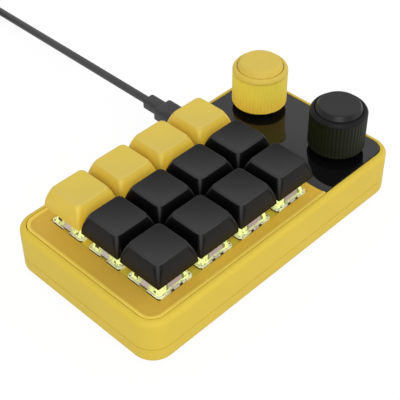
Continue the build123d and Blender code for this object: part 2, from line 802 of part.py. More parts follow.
# Far plug: a USB-A plug lying beside the coil, with its open steel shell
far_grip_end = tail_end.Y - relief_length
with BuildPart() as far_plug:
    with BuildSketch(Plane.XZ.offset(-tail_end.Y)):
        with Locations((tail_end.X, far_plug_z)):
            RegularPolygon(relief_radius, cord_sides)
    extrude(amount=relief_length)
    with BuildSketch(Plane.XZ.offset(-far_grip_end)):
        with Locations((tail_end.X, far_plug_z)):
            RectangleRounded(far_plug_length, far_plug_height, plug_corner)
    extrude(amount=far_plug_depth)
    with BuildSketch(Plane.XZ.offset(far_plug_depth - far_grip_end)):
        with Locations((tail_end.X, far_plug_z)):
            Rectangle(far_shell_length, far_shell_height)
            Rectangle(
                far_shell_length - 2 * far_shell_wall,
                far_shell_height - 2 * far_shell_wall,
                mode=Mode.SUBTRACT,
            )
        with Locations((tail_end.X, far_plug_z + far_shell_height / 4)):
            Rectangle(far_shell_length - 2 * far_shell_wall, far_shell_height / 2 - 2 * far_shell_wall)
    extrude(amount=far_shell_depth)
save(far_plug.part, "far_plug")
print("lead length over plugs", round(
    cord_length + coil_length + relief_length * 2 + plug_depth + far_plug_depth + far_shell_depth
))
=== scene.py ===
from math import cos, hypot, pi, radians, sin, sqrt

import bmesh
import bpy
from mathutils import Matrix, Vector


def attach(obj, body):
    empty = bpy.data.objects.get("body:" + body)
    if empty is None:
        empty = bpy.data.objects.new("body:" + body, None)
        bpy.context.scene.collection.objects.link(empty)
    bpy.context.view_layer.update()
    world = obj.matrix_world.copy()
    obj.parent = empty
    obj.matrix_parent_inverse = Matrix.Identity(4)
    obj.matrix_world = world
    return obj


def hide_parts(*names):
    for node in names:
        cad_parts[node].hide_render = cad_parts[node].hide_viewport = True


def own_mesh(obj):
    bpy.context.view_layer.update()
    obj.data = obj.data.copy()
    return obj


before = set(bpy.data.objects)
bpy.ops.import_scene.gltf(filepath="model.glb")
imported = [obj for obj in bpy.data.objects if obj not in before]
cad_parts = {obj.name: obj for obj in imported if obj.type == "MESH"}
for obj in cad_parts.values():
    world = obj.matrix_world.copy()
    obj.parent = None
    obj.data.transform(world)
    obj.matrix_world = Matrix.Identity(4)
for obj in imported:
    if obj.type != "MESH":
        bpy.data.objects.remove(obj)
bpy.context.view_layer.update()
scene = bpy.context.scene
mm = 0.001


# Camera: where the photo was taken from, in millimetres and degrees
cameraView = {
    "place": (-197.935, -191.292, 262.535),
    "azimuth": -45.223,
    "elevation": 42.351,
    "roll": -0.548,
    "lens": 92.524,
    "sensor": 36,
    "clip": (0.01, 20),  # in metres
}


def placeCamera(view):
    data = bpy.data.cameras.new("photoCamera")
    data.lens = view["lens"]
    data.sensor_width = view["sensor"]
    data.clip_start, data.clip_end = view["clip"]
    camera = bpy.data.objects.new("photoCamera", data)
    place = Matrix.Translation(Vector(view["place"]) * mm)
    for degrees, axis in ((view["azimuth"], "Z"), (90 - view["elevation"], "X"), (view["roll"], "Z")):
        place @= Matrix.Rotation(radians(degrees), 4, axis)
    camera.matrix_world = place
    scene.collection.objects.link(camera)
    scene.camera = camera


placeCamera(cameraView)


# Layout: the keys' columns and rows, and the knobs on two of the rows
keyPitch = 19.05
keyColumns = [-43.25, -24.2, -5.15, 13.9]
keyRows = {"front": -keyPitch, "middle": 0.0, "back": keyPitch}
keyPlaces = [(row, column, x, y) for row, y in keyRows.items() for column, x in enumerate(keyColumns, 1)]
knobPlaces = {"front": (47.25, -keyPitch), "back": (47.25, keyPitch)}


# Shader maths: a Wire is one socket, so that a material reads as plain expressions
def operation(name, swapped=False):
    return lambda wire, other=None: wire.apply(name, other, swapped)


class Wire:
    def __init__(self, board, socket):
        self.board = board
        self.socket = socket

    def apply(self, operation, other=None, swapped=False):
        pair = [other, self] if swapped else [self, other]
        values = {i: value for i, value in enumerate(pair) if value is not None}
        return self.board.node("ShaderNodeMath", {"operation": operation}, values)

    __add__ = __radd__ = operation("ADD")
    __mul__ = __rmul__ = operation("MULTIPLY")
    __sub__, __rsub__ = operation("SUBTRACT"), operation("SUBTRACT", swapped=True)
    __truediv__, __rtruediv__ = operation("DIVIDE"), operation("DIVIDE", swapped=True)
    __pow__, __rpow__ = operation("POWER"), operation("POWER", swapped=True)
    __abs__ = operation("ABSOLUTE")
    least = operation("MINIMUM")
    most = operation("MAXIMUM")


# Moulded plastic: its fine grain, and the broad patches in which its shade shifts
grain = {"size": 0.28, "depth": 0.012, "detail": 4, "harshness": 0.6, "glossShift": 0.14}
patches = {"size": 14, "detail": 3}


class Board:
    def __init__(self, name, world=None):
        self.material = world or bpy.data.materials.new(name)
        self.material.use_nodes = True
        self.tree = self.material.node_tree
        self.tree.nodes.clear()

    def node(self, kind, settings=None, values=None, output=0):
        made = self.tree.nodes.new(kind)
        for key, value in (settings or {}).items():
            if key == "stops":
                self.setStops(made.color_ramp.elements, value)
            else:
                setattr(made, key, value)
        for key, value in (values or {}).items():
            self.feed(made.inputs[key], value)
        return Wire(self, made.outputs[output]) if made.outputs else None

    def feed(self, socket, value):
        if isinstance(value, Wire):
            self.tree.links.new(value.socket, socket)
        elif isinstance(value, (tuple, list)) and socket.type == "RGBA":
            socket.default_value = (*value[:3], 1)
        else:
            socket.default_value = value

    def setStops(self, elements, stops):
        while len(elements) < len(stops):
            elements.new(0.5)
        for element, (place, value) in zip(elements, stops):
            element.position = place
            element.color = (value, value, value, 1)

    def mix(self, share, first, second, blend="MIX"):
        settings = {"data_type": "RGBA", "blend_type": blend}
        return self.node("ShaderNodeMix", settings, {0: share, 6: first, 7: second}, 2)

    def noise(self, size, detail=2.0, harshness=0.5):
        values = {"Vector": self.place(), "Scale": 1 / (size * mm), "Detail": detail, "Roughness": harshness}
        return self.node("ShaderNodeTexNoise", None, values)

    def place(self):
        return self.node("ShaderNodeTexCoord", None, None, "Object")

    def axes(self):
        split = self.node("ShaderNodeSeparateXYZ", None, {0: self.place()})
        return [Wire(self, output) for output in split.socket.node.outputs]

    def seen(self):
        # 1 for the rays that look at a thing directly, in a reflection or through glass
        kinds = ("Is Camera Ray", "Is Glossy Ray", "Is Transmission Ray")
        camera, glossy, through = (self.node("ShaderNodeLightPath", None, None, kind) for kind in kinds)
        return camera.most(glossy).most(through)

    def ramp(self, amount, stops):
        return self.node("ShaderNodeValToRGB", {"stops": stops}, {0: amount})

    def bump(self, height, depth):
        return self.node("ShaderNodeBump", None, {"Height": height, "Distance": depth * mm})

    def finish(self, **values):
        # values are named as the shader's own sockets, with _ for a space
        named = {key.replace("_", " "): value for key, value in values.items()}
        shader = self.node("ShaderNodeBsdfPrincipled", None, named)
        self.node("ShaderNodeOutputMaterial", None, {"Surface": shader})
        return self.material

    def moulded(self, roughness, shine, size=grain["size"], depth=grain["depth"], **values):
        # a finish whose fine grain breaks up both the gloss and the surface
        fine = self.noise(size, grain["detail"], grain["harshness"])
        return self.finish(
            Roughness=roughness + (fine - 0.5) * grain["glossShift"],
            Normal=self.bump(fine, depth),
            Specular_IOR_Level=shine,
            **values,
        )


def scaled(colour, share):
    return tuple(min(value * share, 1) for value in colour)


def plastic(name, colour, roughness, shine=0.5, shift=0.06):
    board = Board(name)
    darker, lighter = scaled(colour, 1 - shift), scaled(colour, 1 + shift * 0.6)
    return board.moulded(roughness, shine, Base_Color=board.mix(board.noise(**patches), darker, lighter))


def grained(name, dark, pale, shade, fine, roughness, glossShift, depth, **values):
    # shade and fine are two noises' settings: one for the colour, one for gloss and surface
    board = Board(name)
    texture = board.noise(**fine)
    return board.finish(
        Base_Color=board.mix(board.noise(**shade), dark, pale),
        Roughness=roughness + texture * glossShift,
        Normal=board.bump(texture, depth),
        **values,
    )


def metal(name, colour, roughness):
    draw = {"size": 0.4, "detail": 3}
    return grained(name, scaled(colour, 0.85), colour, draw, draw, roughness, 0.12, 0.004, Metallic=1.0)


def paint(node, material):
    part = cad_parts[node]
    part.data.materials.clear()
    part.data.materials.append(material)


# Meshes: rings of points are skinned into shells, and shells are joined into a piece
def roundedRing(length, width, radius, z, centre=(0, 0), steps=8):
    ring = []
    for sideX, sideY, start in ((1, 1, 0), (-1, 1, 90), (-1, -1, 180), (1, -1, 270)):
        for step in range(steps + 1):
            angle = radians(start + 90 * step / steps)
            x = centre[0] + sideX * (length / 2 - radius) + radius * cos(angle)
            y = centre[1] + sideY * (width / 2 - radius) + radius * sin(angle)
            ring.append((x, y, z))
    return ring


def squareRing(half, radius, z, steps=8):
    return roundedRing(2 * half, 2 * half, radius, z, steps=steps)


def circleRing(radius, z, centre=(0, 0), steps=64):
    # the radius may also be a function of the angle
    ring = []
    for step in range(steps):
        angle = 2 * pi * step / steps
        reach = radius(angle) if callable(radius) else radius
        ring.append((centre[0] + reach * cos(angle), centre[1] + reach * sin(angle), z))
    return ring


def quarterTurn(x, y, quarter):
    turnX, turnY = round(cos(pi / 2 * quarter)), round(sin(pi / 2 * quarter))
    return x * turnX - y * turnY, x * turnY + y * turnX


def skin(rings, closed=False):
    count = len(rings[0])
    points = [point for ring in rings for point in ring]
    pairs = list(zip(range(len(rings)), range(1, len(rings))))
    if closed:
        pairs.append((len(rings) - 1, 0))
    faces = []
    for low, high in pairs:
        for here in range(count):
            after = (here + 1) % count
            faces.append((low * count + here, low * count + after, high * count + after, high * count + here))
    if not closed:
        faces.append(tuple(reversed(range(count))))
        faces.append(tuple(range((len(rings) - 1) * count, len(rings) * count)))
    return points, faces


def lathe(profile, centre=(0, 0), steps=64):
    # a profile's points are radius and height
    return skin([circleRing(radius, z, centre, steps) for radius, z in profile])


def between(stations, place):
    # the value at a place on the straight lines through stations of place and value
    for (near, nearValue), (far, farValue) in zip(stations, stations[1:]):
        if place <= far:
            return nearValue + (farValue - nearValue) * max(place - near, 0) / (far - near)
    return stations[-1][1]


def mapped(shell, rule):
    points, faces = shell
    return [rule(*point) for point in points], faces


def moved(shell, shift):
    return mapped(shell, lambda x, y, z: (x + shift[0], y + shift[1], z + shift[2]))


def lying(shell, x, y, z):
    # a shell made along +Z is laid along +Y
    return mapped(shell, lambda px, py, pz: (x + px, y + pz, z + py))


def meshOf(name, shells):
    points, faces = [], []
    for shellPoints, shellFaces in shells:
        start = len(points)
        points += [tuple(value * mm for value in point) for point in shellPoints]
        faces += [tuple(start + index for index in face) for face in shellFaces]
    mesh = bpy.data.meshes.new(name)
    mesh.from_pydata(points, [], faces)
    work = bmesh.new()
    work.from_mesh(mesh)
    bmesh.ops.recalc_face_normals(work, faces=work.faces)
    work.to_mesh(mesh)
    work.free()
    return mesh


def makePiece(name, shells, material, body, nodes, cutters=(), sharpAngle=32):
    piece = bpy.data.objects.new(name, meshOf(name, shells))
    scene.collection.objects.link(piece)
    for cutter in cutters:
        tool = bpy.data.objects.new(name + "Cutter", meshOf(name + "Cutter", [cutter]))
        scene.collection.objects.link(tool)
        cut = piece.modifiers.new("cut", "BOOLEAN")
        cut.operation = "DIFFERENCE"
        cut.solver = "EXACT"
        cut.object = tool
        bpy.context.view_layer.update()
        depsgraph = bpy.context.evaluated_depsgraph_get()
        mesh = bpy.data.meshes.new_from_object(piece.evaluated_get(depsgraph))
        piece.modifiers.clear()
        piece.data = mesh
        bpy.data.objects.remove(tool)
    piece.data.shade_smooth()
    piece.data.set_sharp_from_angle(angle=radians(sharpAngle))
    piece.data.materials.clear()
    piece.data.materials.append(material)
    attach(piece, body)
    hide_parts(*nodes)
    return piece


# Lead: one smooth line from the plug to the coil and on to the far plug
lead = {
    "diameter": 3.4,
    "start": (26.95, 61.25, 9.9),
    "drift": 0.87,
    "fall": [(80.0, 9.9), (105.0, 8.9), (131.0, 6.2), (156.0, 3.2), (178.0, 1.75)],
    "coilCentreY": 198.0,
    "coilRadius": 46.7,
    "pitch": 3.9,
    "turns": 3.5,
    "perTurn": 20,
    "climbTurns": 0.5,  # how much of a turn it takes to step up to the second layer
    "floor": 1.75,
    "tailStart": 1.0,
    "tailRun": 9.0,
    "tailSlope": 18.0,
    "tailEase": 4.0,
    "farPlugZ": 4.05,
    "colour": (0.034, 0.034, 0.036),
}
leadSheath = grained(
    "leadSheath", scaled(lead["colour"], 0.82), lead["colour"], {"size": 9}, {"size": 0.5, "detail": 3},
    roughness=0.42, glossShift=0.12, depth=0.03,
)


def leadPoints(data):
    startX, startY, startZ = data["start"]
    points = [data["start"]]
    points += [(startX + data["drift"] * (startZ - z), y, z) for y, z in data["fall"]]
    sideX = points[-1][0]
    points.append((sideX, data["coilCentreY"] - data["diameter"], data["floor"]))
    centreX = sideX - data["coilRadius"]
    perTurn = data["perTurn"]
    total = int(data["turns"] * perTurn)
    reversal = data["turns"] / 2
    spread = 1 / cos(pi / perTurn)
    climbTurns = data["climbTurns"]
    for step in range(1, total):
        turn = step / perTurn
        inward = turn if turn < reversal else 2 * reversal - turn
        radius = (data["coilRadius"] - data["pitch"] * inward) * spread
        climb = min(max((turn - reversal + climbTurns / 2) / climbTurns, 0), 1)
        angle = 2 * pi * turn
        points.append((
            centreX + radius * cos(angle),
            data["coilCentreY"] + radius * sin(angle),
            data["floor"] + data["pitch"] * climb,
        ))
    endX = centreX - data["coilRadius"]
    topZ = data["floor"] + data["pitch"]
    tailY = data["coilCentreY"] - data["tailRun"]
    slopeY = tailY - data["tailSlope"]
    points += [
        (endX, data["coilCentreY"] - data["tailStart"], topZ),
        (endX, tailY, topZ),
        (endX, slopeY + data["tailEase"], data["farPlugZ"]),
        (endX, slopeY - data["diameter"], data["farPlugZ"]),
    ]
    return points


def makeLead(data):
    curve = bpy.data.curves.new("lead", "CURVE")
    curve.dimensions = "3D"
    curve.bevel_depth = data["diameter"] / 2 * mm
    curve.bevel_resolution = 5
    curve.resolution_u = 4
    curve.use_fill_caps = True
    line = curve.splines.new("NURBS")
    points = leadPoints(data)
    line.points.add(len(points) - 1)
    for made, point in zip(line.points, points):
        made.co = (*(value * mm for value in point), 1)
    line.order_u = 3
    line.use_endpoint_u = True
    piece = bpy.data.objects.new("lead", curve)
    scene.collection.objects.link(piece)
    curve.materials.append(leadSheath)
    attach(piece, "base")
    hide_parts("cord", "cord_coil")
    return piece


leadPiece = makeLead(lead)
print("lead laid")


# Case: outside sizes, rounded rim and the fine seam between its two halves
case = {
    "length": 125.5,
    "width": 70.5,
    "corner": 8.4,
    "steps": 12,
    "wall": 2.35,
    "lowerWall": 3.45,
    "bottom": 1.2,
    "floor": 2.0,
    "seam": 7.1,
    "seamEdge": [(0.3, 0.02), (0.3, 0.14), (0.06, 0.17), (0.0, 0.24)],  # inset, distance from the seam
    "top": 19.4,
    "rimRound": 2.2,
    "rimEdge": (0.05, 0.08),
    "bottomRound": 1.4,
    "ledge": (15.0, 16.6, 1.6),  # low, high, width
    "bossPlaces": [(x, y) for x in (-56.75, 56.75) for y in (-29.25, 29.25)],
    "bossHole": [(2.4, 0.5), (2.4, 3.0)],
    "portPlace": (26.95, 9.9),
    "port": (9.2, 3.7, 3.7 / 2.05),  # length, height, corner
    "portReach": 4,
    "colour": (0.72, 0.53, 0.064),
}
caseYellow = plastic("caseYellow", case["colour"], roughness=0.46, shine=0.12)


def caseRing(inset, z):
    radius = max(case["corner"] - inset, 0.5)
    return roundedRing(case["length"] - 2 * inset, case["width"] - 2 * inset, radius, z, steps=case["steps"])


def roundOver(radius, topZ, steps=9, down=False):
    rings = []
    for step in range(steps + 1):
        angle = radians(90 * step / steps)
        rise = radius * (1 - sin(angle))
        inset = radius * (1 - cos(angle))
        rings.append(caseRing(inset, topZ + rise if down else topZ - rise))
    return rings


def makeCase(data):
    ledgeLow, ledgeHigh, ledgeWidth = data["ledge"]
    wall, seam = data["wall"], data["seam"]
    edgeIn, edgeDown = data["rimEdge"]
    _, apart = data["seamEdge"][0]
    top = [caseRing(inset, seam + away) for inset, away in data["seamEdge"]]
    top += roundOver(data["rimRound"], data["top"])
    inside = [
        (wall - edgeIn, data["top"]), (wall, data["top"] - edgeDown), (wall, ledgeHigh),
        (wall + ledgeWidth, ledgeHigh), (wall + ledgeWidth, ledgeLow), (wall, ledgeLow), (wall, seam + apart),
    ]
    top += [caseRing(inset, z) for inset, z in inside]
    portX, portZ = data["portPlace"]
    port = skin([roundedRing(*data["port"], along) for along in (-data["portReach"], data["portReach"])])
    portCut = lying(port, portX, data["width"] / 2, portZ)
    shells = [skin(top, closed=True)]
    makePiece("topCase", shells, caseYellow, "base", ["top_case"], [portCut])

    bottom = list(reversed(roundOver(data["bottomRound"], data["bottom"], steps=7, down=True)))
    bottom += [caseRing(inset, seam - away) for inset, away in reversed(data["seamEdge"])]
    bottom += [caseRing(data["lowerWall"], z) for z in (seam - apart, data["bottom"] + data["floor"])]
    holes = [lathe(data["bossHole"], place, steps=32) for place in data["bossPlaces"]]
    makePiece("bottomCase", [skin(bottom)], caseYellow, "base", ["bottom_case"], holes)


makeCase(case)
print("case made")


# Deck: a dished inset with a lip round it and one opening round the keys
deck = {
    "gap": 0.3,
    "top": 19.4,
    "underside": 16.8,
    "fall": [(0.0, 0.14), (0.05, 0.04), (0.15, 0.0), (0.42, 0.0), (0.6, 0.03), (1.1, 0.16), (1.75, 0.38),
             (2.3, 0.47), (3.2, 0.57), (4.4, 0.66), (5.8, 0.7), (60.0, 0.7)],  # inset from its edge, drop
    "ringsTo": 4.8,  # past this inset the rings spread towards the opening
    "spread": (0.25, 0.5, 0.75, 1.0),
    "openingCentre": (-14.675, 0.0),
    "opening": (73.45, 54.4, 0.3),  # length, width, corner
    "edge": 0.12,
    "panelCut": {"left": 25.15, "right": 70, "width": 90, "corner": 0.01, "bottom": 17.8, "height": 6},
    # the lip's paler colour is a painted highlight
    "lipColour": (0.87, 0.64, 0.095),
    "lipReach": 5,
    "lipShade": [(0.2, 0.0), (0.3, 1.0)],
    "floorDark": (0.74, 0.445, 0.05),
    "floorPale": (0.86, 0.565, 0.057),
    "floorPatches": {"size": 16, "detail": 3},
    # painted shade: the floor is painted darker and bluer towards the deck's left end
    "leftTint": (0.84, 0.84, 0.95),
    "leftReach": 50,
    "leftShade": [(0.2, 0.0), (0.6, 1.0)],
    "roughness": 0.46,
    "shine": 0.25,
}
deckOuter = case["wall"] + deck["gap"]


def insetOf(x, y):
    # how far a point lies inside the deck's rounded outline
    corner = case["corner"] - deckOuter
    pastX = abs(x) - (case["length"] / 2 - case["corner"])
    pastY = abs(y) - (case["width"] / 2 - case["corner"])
    if pastX > 0 and pastY > 0:
        return corner - hypot(pastX, pastY)
    return corner - max(pastX, pastY)


def deckFinish(data):
    # painted light: the lip round the edge is painted paler than the dished floor inside it, as a painted
    # highlight, and the floor is painted darker and bluer towards the left, as painted shade
    board = Board("deckYellow")
    acrossX, acrossY, _ = board.axes()
    pastX = (abs(acrossX) - (case["length"] / 2 - case["corner"]) * mm).most(0.0)
    pastY = (abs(acrossY) - (case["width"] / 2 - case["corner"]) * mm).most(0.0)
    inset = case["corner"] - deckOuter - (pastX * pastX + pastY * pastY) ** 0.5 / mm
    floorShare = board.ramp(inset / data["lipReach"], data["lipShade"])
    # painted shade towards the left end
    fromLeft = (acrossX / mm + case["length"] / 2) / data["leftReach"]
    leftShadeMix = board.mix(board.ramp(fromLeft, data["leftShade"]), data["leftTint"], (1, 1, 1))
    plain = board.mix(board.noise(**data["floorPatches"]), data["floorDark"], data["floorPale"])
    floorColour = board.mix(1.0, plain, leftShadeMix, "MULTIPLY")
    colour = board.mix(floorShare, data["lipColour"], floorColour)
    return board.moulded(data["roughness"], data["shine"], Base_Color=colour)


def makeDeck(data):
    top, low = data["top"], data["underside"]
    rings = [caseRing(deckOuter, low)]
    fall = [(inset, drop) for inset, drop in data["fall"] if inset < data["ringsTo"]]
    rings += [caseRing(deckOuter + inset, top - drop) for inset, drop in fall]
    length, width, corner = data["opening"]
    hole = roundedRing(length, width, corner, 0, data["openingCentre"], case["steps"])
    last = rings[-1]
    for share in data["spread"]:
        ring = []
        for (startX, startY, _), (endX, endY, _) in zip(last, hole):
            x, y = startX + (endX - startX) * share, startY + (endY - startY) * share
            ring.append((x, y, top - between(deck["fall"], insetOf(x, y))))
        rings.append(ring)
    rings.append([(x, y, z - data["edge"]) for x, y, z in rings[-1]])
    rings.append([(x, y, low) for x, y, _ in rings[-1]])
    cut = data["panelCut"]
    middle = ((cut["left"] + cut["right"]) / 2, 0)
    shelfCut = skin([
        roundedRing(cut["right"] - cut["left"], cut["width"], cut["corner"], z, middle, steps=1)
        for z in (cut["bottom"], cut["bottom"] + cut["height"])
    ])
    shells = [skin(rings, closed=True)]
    makePiece("keyDeck", shells, deckFinish(data), "base", ["key_deck"], [shelfCut])


makeDeck(deck)
print("deck made")


# Panel: the gloss inlay, bevelled on its left, with a hole for each knob's bushing
panel = {
    "left": 25.15,
    "bevel": (1.6, 0.7),
    "overlap": 0.05,
    "bottom": 17.8,
    "top": 19.4,
    "edge": 0.12,
    "edgeStep": 0.036,
    "cornersPast": 30,  # the case's rounded corners at the right lie past this
    "hole": [(3.7, 15), (3.7, 22)],
    "dark": (0.0025, 0.0025, 0.003),
    "pale": (0.0045, 0.0045, 0.005),
}


def panelFinish(data):
    board = Board("panelGloss")
    wipe = board.noise(size=22, detail=3)
    dust = board.noise(size=0.35, detail=1)
    return board.finish(
        Base_Color=board.mix(wipe, data["dark"], data["pale"]),
        Roughness=0.035 + wipe * 0.03,
        Normal=board.bump(dust, depth=0.0006),
    )


def panelRing(left, inset, z):
    # the right-hand corners come first and last, so the left edge closes between them
    points = [point for point in caseRing(deckOuter + inset, z) if point[0] > panel["cornersPast"]]
    upper = [point for point in points if point[1] > 0]
    lower = [point for point in points if point[1] < 0]
    half = case["width"] / 2 - deckOuter - inset
    return upper + [(left, half, z), (left, -half, z)] + lower


def makePanel(data):
    bevelWidth, bevelHeight = data["bevel"]
    left, top, edge, edgeStep = data["left"], data["top"], data["edge"], data["edgeStep"]
    slope = bevelWidth / bevelHeight
    rings = [panelRing(left, 0, data["bottom"]), panelRing(left, 0, top - bevelHeight)]
    for inset, below in ((0, edge), (edgeStep, edgeStep)):
        rings.append(panelRing(left + (bevelHeight - below) * slope, inset, top - below))
    rings.append(panelRing(left + bevelWidth + data["overlap"], edge, top))
    holes = [lathe(data["hole"], place) for place in knobPlaces.values()]
    makePiece("knobPanel", [skin(rings)], panelFinish(data), "base", ["knob_panel"], holes, 20)


makePanel(panel)
print("panel made")


# Keycaps: bowed sides, corners that round off towards the top, and a spherical dish
keycap = {
    "skirt": 25.3,
    "height": 8.46,
    "dish": 45.0,
    "steps": 7,
    "walls": [  # height above the skirt, half width, corner radius: down the hollow, then up the outside
        (5.9, 6.35, 0.8), (3.0, 7.15, 0.7), (0.12, 7.72, 0.6), (0.0, 7.8, 0.6),
        (0.0, 8.97, 0.35), (0.08, 9.05, 0.4), (1.2, 9.0, 0.55), (2.4, 8.88, 0.75), (3.6, 8.68, 1.0),
        (4.8, 8.4, 1.3), (6.0, 8.05, 1.65), (6.9, 7.73, 1.95),
    ],
    "edge": [  # half width, drop below the dish, corner radius
        (7.31, 0.72, 2.15), (7.2, 0.44, 2.2), (7.05, 0.22, 2.25), (6.86, 0.08, 2.3), (6.62, 0.0, 2.35),
    ],
    "dishRings": (0.93, 0.82, 0.68, 0.52, 0.35, 0.18),
    "topHalf": 7.15,
    "topCorner": 2.2,
    "post": (24.99, 2.75, 2.12),  # bottom, radius, socket radius
    "postSink": (0.2, 0.3),  # how far the post goes into the cap, and its socket stops short of it
}
keyLook = {
    "grain": 0.22,
    "topDepth": 0.01,
    "roughness": 0.42,
    "sideShift": 0.93,
    "topShift": 0.1,
    # painted bounce light and painted glow at the skirt
    "skirtShade": [(0.0, 0.0), (0.6, 1.0)],
    "skirtGlow": [(0.0, 1.0), (0.5, 0.8), (1.0, 0.1)],
    # a painted highlight down each corner, between two painted dark reflection lines
    "cornerWidth": (0.5, 1.35),  # half width of the rounded corner at the skirt, and what it gains to the top
    "darkLine": [(0.28, 0.0), (0.44, 1.0), (0.56, 1.0), (0.8, 0.0)],
    "brightLine": [(0.05, 1.0), (0.34, 0.0)],
    "brightRise": (1.25, 0.1),
    "lineEnd": [(0.76, 1.0), (0.86, 0.0)],
    "facing": [(0.5, 0.0), (0.6, 1.0)],
    "facingOver": 10,
    "fallOver": 20.8,
    "fieldCentre": -14.675,
    "fieldHalf": (35.3, 26.0),  # past these a side has no neighbour
    "fieldEdge": [(0.0, 0.0), (0.5, 1.0)],
    # painted shade on the black caps' sides that face another key
    "gapColour": (0.0025, 0.0025, 0.0027),
}
keyTones = {
    "Yellow": {
        "side": (0.74, 0.535, 0.068),
        # the skirt colour is painted warm bounce light, the glow is painted glow
        "skirt": (0.96, 0.6, 0.03),
        "glow": (0.27, 0.145, 0.004),
        # line is the painted dark reflection lines' colour, corner the painted highlight's colour
        "line": (0.7, 0.49, 0.05),
        "corner": (0.77, 0.565, 0.083),
        # painted shade across the top, from the near colour to the far one
        "topNear": (0.725, 0.54, 0.095),
        "topFar": (0.725, 0.545, 0.081),
        "shine": 0.25,
        "openShare": 0.04,
    },
    "Black": {
        "side": (0.017, 0.0168, 0.0165),
        # the skirt colour is a painted reflection of the yellow deck, the glow is painted glow
        "skirt": (0.02, 0.012, 0.0015),
        "glow": (0.003, 0.0018, 0.0003),
        # line is the painted dark reflection lines' colour, corner the painted highlight's colour
        "line": (0.004, 0.004, 0.0045),
        "corner": (0.044, 0.044, 0.046),
        # painted shade across the top, from the near colour to the far one
        "topNear": (0.0495, 0.0495, 0.0495),
        "topFar": (0.0192, 0.0194, 0.0196),
        "shine": 0.06,
        "openShare": 1,
    },
}


def dishHeight(x, y):
    corner = (keycap["topHalf"] - keycap["topCorner"]) * sqrt(2) + keycap["topCorner"]
    drop = sqrt(keycap["dish"] ** 2 - corner ** 2)
    return keycap["height"] + drop - sqrt(keycap["dish"] ** 2 - x * x - y * y)


def cellOffsets(board):
    # where a point lies from the middle of its own switch, along X and along Y, in millimetres
    pitch = keyPitch * mm
    acrossX, acrossY, _ = board.axes()
    offsets = []
    for axis, start in ((acrossX, keyColumns[0]), (acrossY, keyRows["front"])):
        cell = (axis - (start * mm - pitch / 2)) / pitch
        offsets.append((cell.apply("FRACT") - 0.5) * keyPitch)
    return offsets


def openSide(board):
    # 1 on the sides at the outside of the block of keys, 0 on those that face another key: the mask for the
    # painted shade between keys
    acrossX, acrossY, _ = board.axes()
    halfX, halfY = keyLook["fieldHalf"]
    pastX = abs(acrossX / mm - keyLook["fieldCentre"]) - halfX
    pastY = abs(acrossY / mm) - halfY
    return board.ramp(pastX.most(pastY), keyLook["fieldEdge"])


def sideFinish(kind, tone):
    # the moulded sides, with painted light: a painted highlight down each corner between two painted dark
    # reflection lines, and painted bounce light and glow at the skirt
    board = Board(f"key{kind}Side")
    offX, offY = (abs(offset) for offset in cellOffsets(board))
    _, _, height = board.axes()
    rise = (height / mm - keycap["skirt"]) / keycap["height"]
    shade = board.mix(board.noise(**patches), scaled(tone["side"], keyLook["sideShift"]), tone["side"])
    # painted light: the sides that face the next row get painted bounce light and painted glow at the skirt,
    # and the open ones only a little
    openShare = tone["openShare"]
    facing = board.ramp((offY - offX) / keyLook["facingOver"] + 0.5, keyLook["facing"])
    facing = facing * (1 - openShare) + openShare
    low = (1 - board.ramp(rise, keyLook["skirtShade"])) * facing
    body = board.mix(low, shade, tone["skirt"])
    paintedGlowShare = board.ramp(rise, keyLook["skirtGlow"]) * facing
    # painted shade: on black caps the sides that face another key are painted near black, with no glow
    if openShare == 1:
        outside = openSide(board)
        body = board.mix(outside, keyLook["gapColour"], body)
        paintedGlowShare = paintedGlowShare * outside
    # painted highlight and painted dark reflection lines down each corner
    narrow, gain = keyLook["cornerWidth"]
    apart = abs(offX - offY) / ((rise * gain + narrow) * 2)
    darkLine = board.ramp(apart, keyLook["darkLine"]) * board.ramp(rise, keyLook["lineEnd"])
    steep, start = keyLook["brightRise"]
    brightLine = board.ramp(apart, keyLook["brightLine"]) * (rise * steep - start).most(0.0).least(1.0)
    lined = board.mix(darkLine, body, tone["line"])
    return board.moulded(
        keyLook["roughness"], tone["shine"], keyLook["grain"],
        Base_Color=board.mix(brightLine, lined, tone["corner"]),
        Emission_Color=board.mix(paintedGlowShare, (0, 0, 0), tone["glow"]),
        Emission_Strength=1.0,
    )


def topFinish(kind, tone):
    # painted shade: the dished top is painted darker towards the back right
    board = Board(f"key{kind}Top")
    offX, offY = cellOffsets(board)
    fall = ((offX + offY) / keyLook["fallOver"] + 0.5).most(0.0).least(1.0)
    shade = board.mix(fall, tone["topNear"], tone["topFar"])
    colour = board.mix(board.noise(**patches) * keyLook["topShift"], shade, (0, 0, 0))
    return board.moulded(
        keyLook["roughness"], tone["shine"], keyLook["grain"], keyLook["topDepth"], Base_Color=colour,
    )


keyFinish = {kind: (sideFinish(kind, tone), topFinish(kind, tone)) for kind, tone in keyTones.items()}


